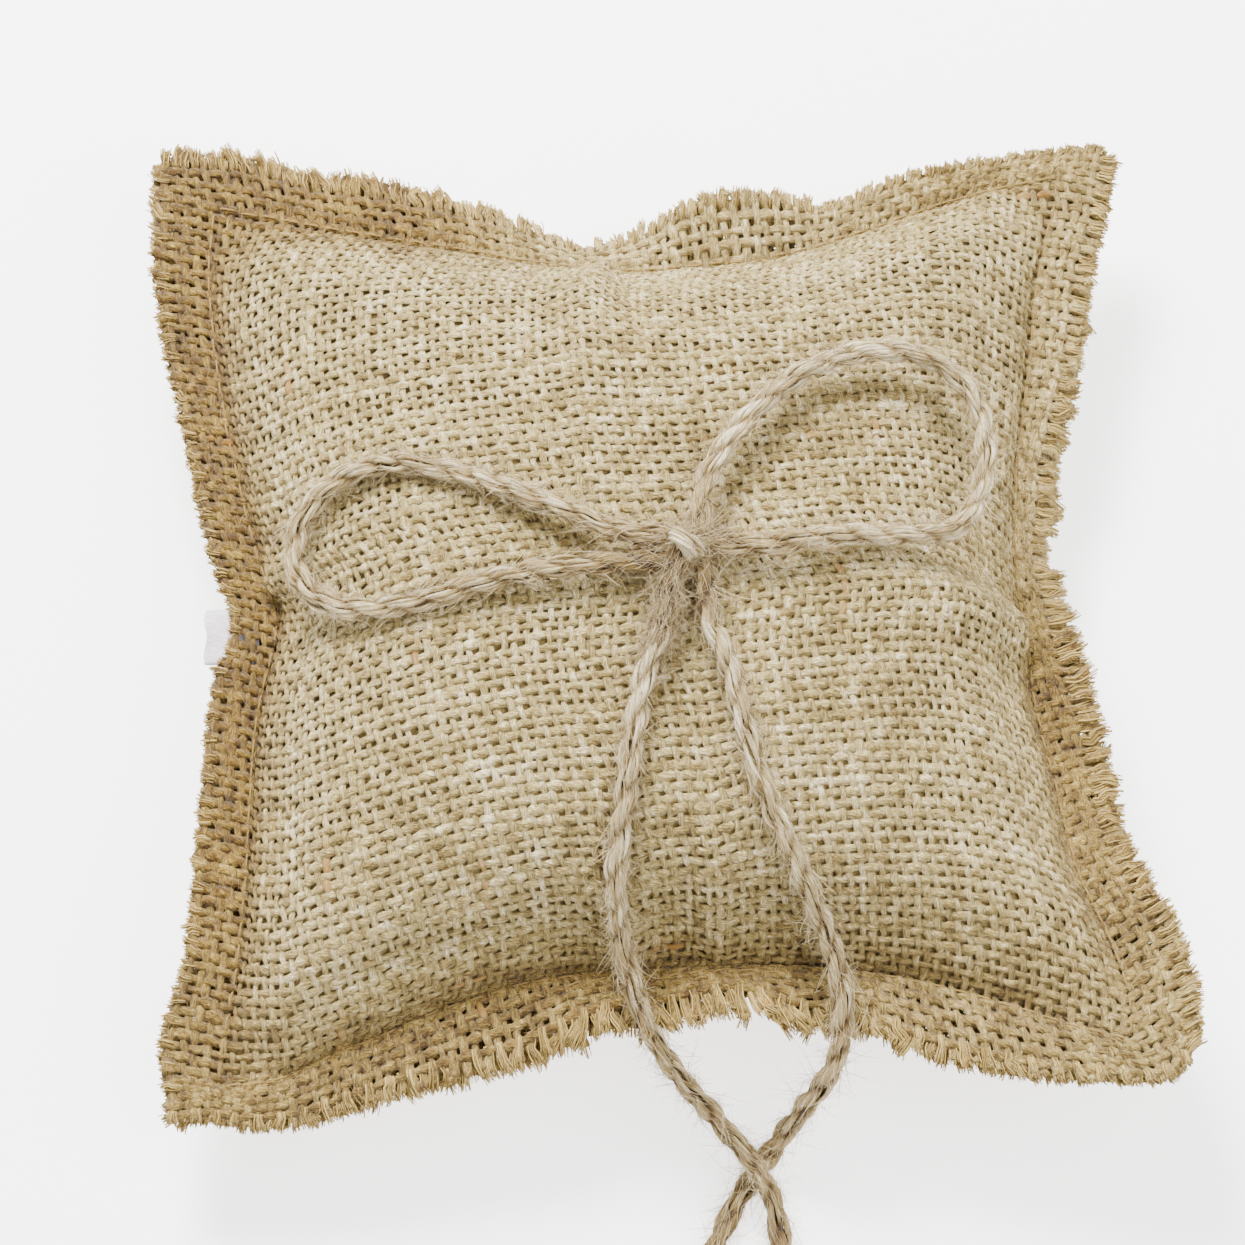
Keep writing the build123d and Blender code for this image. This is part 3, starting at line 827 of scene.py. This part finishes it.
def surface_fuzz(panel, count, rng):
    """Short fibres that stand off the cloth."""
    points, normal = on_panel(panel, *rng.uniform(0.5, CELLS - 1, (2, count)))
    angle = np.where(rng.random(count) < 0.5, 0, np.pi / 2) + rng.normal(0, 0.5, count)
    flat = np.stack([np.cos(angle), np.sin(angle), np.zeros(count)], 1)
    heads = unit(flat + normal * rng.uniform(0.05, 0.7, (count, 1)) ** 1.5)
    lengths = rng.gamma(2.6, 0.65, count).clip(0.6, 5.0)
    half = rng.uniform(0.018, 0.034, count)
    return fibres(f"{panel}_fuzz", points + normal * 0.4, heads, normal, lengths, half, rng, curl=0.5)


fuzz_pieces = [
    tufts("front", weave_rng), tufts("back", weave_rng),
    frayed_ends("front", weave_rng), frayed_ends("back", weave_rng),
    surface_fuzz("front", 9000, weave_rng), surface_fuzz("back", 2500, weave_rng),
]


def stuffing_piece():
    """The fibre filling: a closed skin just inside the two panels."""
    f = FLANGE_CELLS
    sink = YARN_HALF_HEIGHT + CRIMP + 0.15
    top, low = (
        (grids[panel][0] - grid_normals(*grids[panel]) * sink)[f:-f, f:-f]
        for panel in ("front", "back")
    )
    middle = (top[..., 2] + low[..., 2]) / 2
    top[..., 2] = np.maximum(top[..., 2], middle + 0.05)
    low[..., 2] = np.minimum(low[..., 2], middle - 0.05)
    m = top.shape[0]
    index = np.arange(m * m).reshape(m, m)
    rim = np.concatenate([index[0], index[1:, -1], index[-1, -2::-1], index[-2:0:-1, 0]])
    band = np.stack([rim, rim + m * m, np.roll(rim, -1) + m * m, np.roll(rim, -1)], -1)
    faces = np.concatenate([grid_faces(index), grid_faces(index + m * m)[:, ::-1], band])
    return new_piece("fibre_filling", np.concatenate([top.reshape(-1, 3), low.reshape(-1, 3)]), [faces])


filling = stuffing_piece()


# ---- sewing and label
STITCH_POINTS = 9
THREAD_SIDES = 6


def thread_piece(name, lines, normals, half_width, half_height, rng):
    """Short lengths of thread along the lines."""
    points, faces, angles = tubes(lines, normals, half_width, half_height, THREAD_SIDES)
    along = np.linspace(-1.4, 1.4, STITCH_POINTS)
    grain = fibre_grain(along, len(lines), STITCH_POINTS, THREAD_SIDES, angles, rng, 1.0, 0.5)
    return new_piece(name, points, faces, {"grain": grain})


def stitches(name, side, count, outside, span, slant, rng):
    """A row of stitches beside the seam on both faces, their ends sunk into the cloth."""
    near, far = FLANGE_CELLS - outside, FLANGE_CELLS + INNER_CELLS + outside
    across = {"bottom": near, "left": near, "top": far, "right": far}[side]
    t = np.linspace(-1, 1, STITCH_POINTS)
    starts = np.linspace(span[0], span[1], count + 1)
    middle = (starts[:-1] + starts[1:]) / 2
    reach = (starts[1] - starts[0]) * 0.43
    run = FLANGE_CELLS + INNER_CELLS * (middle[:, None] + reach * t)
    over = across + slant * t + rng.normal(0, 0.05, (count, 1))
    places = (over + 0 * run, run) if side in ("bottom", "top") else (run, over + 0 * run)
    points, normals = zip(*(on_panel(panel, *places) for panel in grids))
    points, normals = np.concatenate(points), np.concatenate(normals)
    lift = 0.48 - 0.85 * t**6
    return thread_piece(name, points + normals * lift[None, :, None], normals, 0.16, 0.14, rng)


sew_rng = np.random.default_rng(5)
stitch_pieces = {
    f"seam_stitches_{side}": stitches(f"seam_{side}", side, 40, 0.35, (0, 1), 0.0, sew_rng)
    for side in SEAM
}
stitch_pieces["closing_stitches"] = stitches("seam_closing", "bottom", 9, 1.5, (0.38, 0.62), 0.25, sew_rng)


def tack_thread():
    """Two short threads, hidden under the knot."""
    x, y, z = 4.2, 0.2, 46.0
    t = np.linspace(-1, 1, STITCH_POINTS)
    lines = np.array([np.stack([x + aside + t, y + t, z - 1.2 * t**4], 1) for aside in (-2.4, 2.4)])
    return thread_piece("knot_tack", lines, np.zeros_like(lines) + (0, 0, 1), 0.3, 0.3, sew_rng)


stitch_pieces["tack_stitch"] = tack_thread()


def label_piece():
    """A folded strip between the left flanges, its fold showing past the raw edge."""
    fold_x, inner_x, middle_y, middle_z = -67.5, -59.5, -2.8, 20.0
    half_width, half_gap, thickness = 4.3, 0.22, 0.12
    bend = np.linspace(-np.pi / 2, np.pi / 2, 9)[::-1]
    runs = np.linspace(inner_x, fold_x + half_gap, 10)
    x = np.concatenate([runs, fold_x + half_gap * (1 - np.cos(bend[1:-1])), runs[::-1]])
    z = np.concatenate([np.full(10, half_gap), half_gap * np.sin(bend[1:-1]), np.full(10, -half_gap)])
    y = np.linspace(-half_width, half_width, 15)
    wave = 0.35 * np.sin(0.75 * y + 0.6)
    out = np.clip((-x - 64.5) / 4, 0, 1)
    skew = 1 - 0.06 * out
    points = np.stack([
        x[:, None] + 0.3 * out[:, None] * np.cos(1.1 * y)[None],
        middle_y + skew[:, None] * y[None],
        middle_z + z[:, None] + (wave[None] + 0.1 * y[None]) * out[:, None],
    ], -1)
    index = np.arange(points.size // 3).reshape(points.shape[:2])
    piece = new_piece("blank_label", points.reshape(-1, 3), [grid_faces(index)])
    shell = piece.modifiers.new("thickness", "SOLIDIFY")
    shell.thickness = thickness * MM
    shell.offset = 0
    return piece


label = label_piece()


# ---- materials
def srgb(r, g, b):
    """Linear colour from 0 to 255 display values."""
    values = np.array([r, g, b]) / 255
    return (*np.where(values <= 0.04045, values / 12.92, ((values + 0.055) / 1.055) ** 2.4), 1.0)


class Nodes:
    """Short calls for building one material's nodes."""

    def __init__(self, name, roughness, sheen=0.0):
        self.material = bpy.data.materials.new(name)
        self.material.use_nodes = True
        self.tree = self.material.node_tree
        self.shader = self.tree.nodes["Principled BSDF"]
        self.shader.inputs["Roughness"].default_value = roughness
        self.shader.inputs["Sheen Weight"].default_value = sheen
        self.shader.inputs["Sheen Roughness"].default_value = 0.45
        self.shader.inputs["Specular IOR Level"].default_value = 0.3

    def put(self, value, socket):
        if isinstance(value, bpy.types.NodeSocket):
            self.tree.links.new(value, socket)
        else:
            socket.default_value = value

    def node(self, kind, **inputs):
        """A new node, its inputs given by name as values or other nodes' outputs."""
        node = self.tree.nodes.new(f"ShaderNode{kind}")
        for socket, value in inputs.items():
            self.put(value, node.inputs[socket])
        return node

    def attribute(self, name, output="Fac"):
        node = self.node("Attribute")
        node.attribute_name = name
        return node.outputs[output]

    def sum(self, *terms):
        """Adds value times weight over all the terms."""
        total = 0.0
        for value, weight in terms:
            node = self.node("Math")
            node.operation = "MULTIPLY_ADD"
            for socket, given in zip(node.inputs, (value, weight, total)):
                self.put(given, socket)
            total = node.outputs[0]
        return total

    def noise(self, vector, scale, detail=3.0, rough=0.55):
        node = self.node("TexNoise", Vector=vector, Scale=scale, Detail=detail, Roughness=rough)
        return node.outputs["Fac"]

    def ramp(self, value, stops):
        node = self.node("ValToRGB", Fac=value)
        elements = node.color_ramp.elements
        while len(elements) < len(stops):
            elements.new(0.5)
        for element, (place, colour) in zip(elements, stops):
            element.position = place
            element.color = srgb(*colour)
        return node.outputs["Color"]

    def mix(self, factor, a, b):
        node = self.node("Mix")
        node.data_type = "RGBA"
        for socket, value in zip([socket for socket in node.inputs if socket.enabled], (factor, a, b)):
            self.put(value, socket)
        return [socket for socket in node.outputs if socket.enabled][0]

    def colour(self, value):
        self.put(value, self.shader.inputs["Base Color"])

    def bump(self, height, strength, distance):
        node = self.node("Bump", Height=height, Strength=strength, Distance=distance)
        self.put(node.outputs["Normal"], self.shader.inputs["Normal"])

    def place(self):
        return self.node("TexCoord").outputs["Object"]


def burlap_material():
    m = Nodes("burlap", 0.85, 0.10)
    streak = m.noise(m.attribute("grain", "Vector"), 3.4, 4.0, 0.72)
    cloud = m.noise(m.place(), 60.0, 3.0)
    fleck = m.noise(m.place(), 420.0, 2.0, 0.6)
    value = m.sum(
        # painted shade: the negative weight on the under-crossing attribute darkens the yarns there
        (streak, 2.8), (m.attribute("tone"), 0.15), (cloud, 0.45), (fleck, 1.2), (m.attribute("under_shade"), -0.10),
        # painted shade: the negative weight on edge darkens the flange
        (m.attribute("edge"), -0.15), (1.0, -1.70),
    )
    crown = m.ramp(value, [
        (0.0, (92, 70, 32)), (0.30, (143, 121, 66)), (0.58, (179, 158, 98)), (0.80, (207, 187, 134)),
        (1.0, (250, 233, 199)),
    ])
    flange = m.ramp(value, [
        (0.0, (68, 46, 16)), (0.30, (110, 82, 28)), (0.60, (147, 117, 45)), (0.85, (174, 146, 68)),
        (1.0, (208, 184, 116)),
    ])
    cloth = m.mix(m.attribute("edge"), crown, flange)
    m.colour(m.mix(m.attribute("stain"), cloth, srgb(158, 106, 28)))
    m.bump(streak, 1.0, 0.0004)
    return m.material


def twine_material():
    m = Nodes("jute_twine", 0.74, 0.15)
    streak = m.noise(m.attribute("grain", "Vector"), 3.6, 5.0, 0.72)
    value = m.sum((streak, 2.3), (m.attribute("tone"), 0.24), (1.0, -0.62))
    m.colour(m.ramp(value, [
        (0.0, (62, 38, 4)), (0.28, (114, 86, 34)), (0.54, (163, 137, 82)), (0.8, (201, 179, 130)),
        (1.0, (242, 228, 192)),
    ]))
    m.bump(streak, 0.9, 0.0004)
    return m.material


def fibre_material(name, dark, light):
    m = Nodes(name, 0.6)
    m.colour(m.ramp(m.attribute("tone"), [(0.0, dark), (1.0, light)]))
    return m.material


def filling_material():
    m = Nodes("fibre_fill", 0.95, 0.1)
    clump = m.noise(m.place(), 900.0, 4.0, 0.7)
    # its tan-brown is partly the fill's colour and partly painted shade, seen through the gaps between the
    # yarns
    m.colour(m.ramp(clump, [(0.3, (120, 98, 52)), (0.55, (158, 136, 84)), (0.75, (188, 168, 116))]))
    m.bump(clump, 0.8, 0.0006)
    return m.material


def thread_material():
    m = Nodes("sewing_thread", 0.6, 0.1)
    ply = m.noise(m.attribute("grain", "Vector"), 5.0, 3.0)
    m.colour(m.ramp(ply, [(0.3, (104, 78, 32)), (0.55, (142, 114, 58)), (0.75, (176, 150, 92))]))
    m.bump(ply, 0.5, 0.0001)
    return m.material


def satin_material():
    m = Nodes("label_satin", 0.38, 0.4)
    stretch = m.node("Mapping", Vector=m.place(), Scale=(900.0, 4200.0, 900.0))
    rib = m.noise(stretch.outputs["Vector"], 1.0, 2.0)
    m.colour(m.ramp(rib, [(0.3, (190, 180, 188)), (0.7, (226, 218, 224))]))
    m.bump(rib, 0.3, 0.00006)
    return m.material


# ---- materials, the body, and hiding the CAD parts
def finished(piece, material):
    """Gives a piece its material and the object's one body."""
    piece.data.materials.append(material)
    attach(piece, "root")


burlap, jute = burlap_material(), twine_material()
loose_jute = fibre_material("jute_fibres", (112, 84, 40), (226, 208, 166))
loose_burlap = fibre_material("burlap_fibres", (118, 90, 32), (196, 170, 106))
thread, satin = thread_material(), satin_material()

for name, piece in cord_pieces.items():
    finished(piece, jute)
    finished(hair_pieces[name], loose_jute)
    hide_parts(name)
for piece in knot_pieces:
    finished(piece, loose_jute if piece.name.endswith("fibres") else jute)
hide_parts("bow_knot")

for piece in weave_pieces + fuzz_pieces:
    finished(piece, burlap if piece in weave_pieces else loose_burlap)
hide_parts("front_panel")
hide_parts("back_panel")
finished(filling, filling_material())
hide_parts("stuffing")
for node, piece in stitch_pieces.items():
    finished(piece, thread)
    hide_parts(node)
finished(label, satin)
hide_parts("side_label")


# ---- stage
FLOOR_HALF = 3  # metres
FLOOR_GLOW = 2.2
WORLD_GLOW = 0.74
LIGHTS = {  # place and size in metres, power in watts
    "key": ((-0.22, 0.54, 0.68), 0.34, 30.5),
    "fill": ((0.48, -0.25, 0.85), 0.8, 12.0),
}


def add_stage():
    """A pale floor, an even sky and two area lights."""
    h = FLOOR_HALF
    mesh = bpy.data.meshes.new("floor")
    mesh.from_pydata([(-h, -h, 0), (h, -h, 0), (h, h, 0), (-h, h, 0)], [], [(0, 1, 2, 3)])
    m = Nodes("floor", 0.9)
    m.colour((0.95, 0.95, 0.95, 1))
    m.put((1.0, 1.0, 1.0, 1), m.shader.inputs["Emission Color"])
    m.put(FLOOR_GLOW, m.shader.inputs["Emission Strength"])
    mesh.materials.append(m.material)
    add_object("floor", mesh)
    world = bpy.data.worlds.new("world")
    world.use_nodes = True
    sky = world.node_tree.nodes["Background"]
    sky.inputs["Color"].default_value = (1.0, 1.0, 1.0, 1)
    sky.inputs["Strength"].default_value = WORLD_GLOW
    bpy.context.scene.world = world
    for name, (place, size, power) in LIGHTS.items():
        light = bpy.data.lights.new(name, "AREA")
        light.size = size
        light.energy = power
        lamp = add_object(name, light)
        lamp.location = place
        x, y, z = place
        lamp.rotation_euler = (math.atan2(math.hypot(x, y), z - 0.02), 0, math.atan2(y, x) + math.pi / 2)


add_stage()
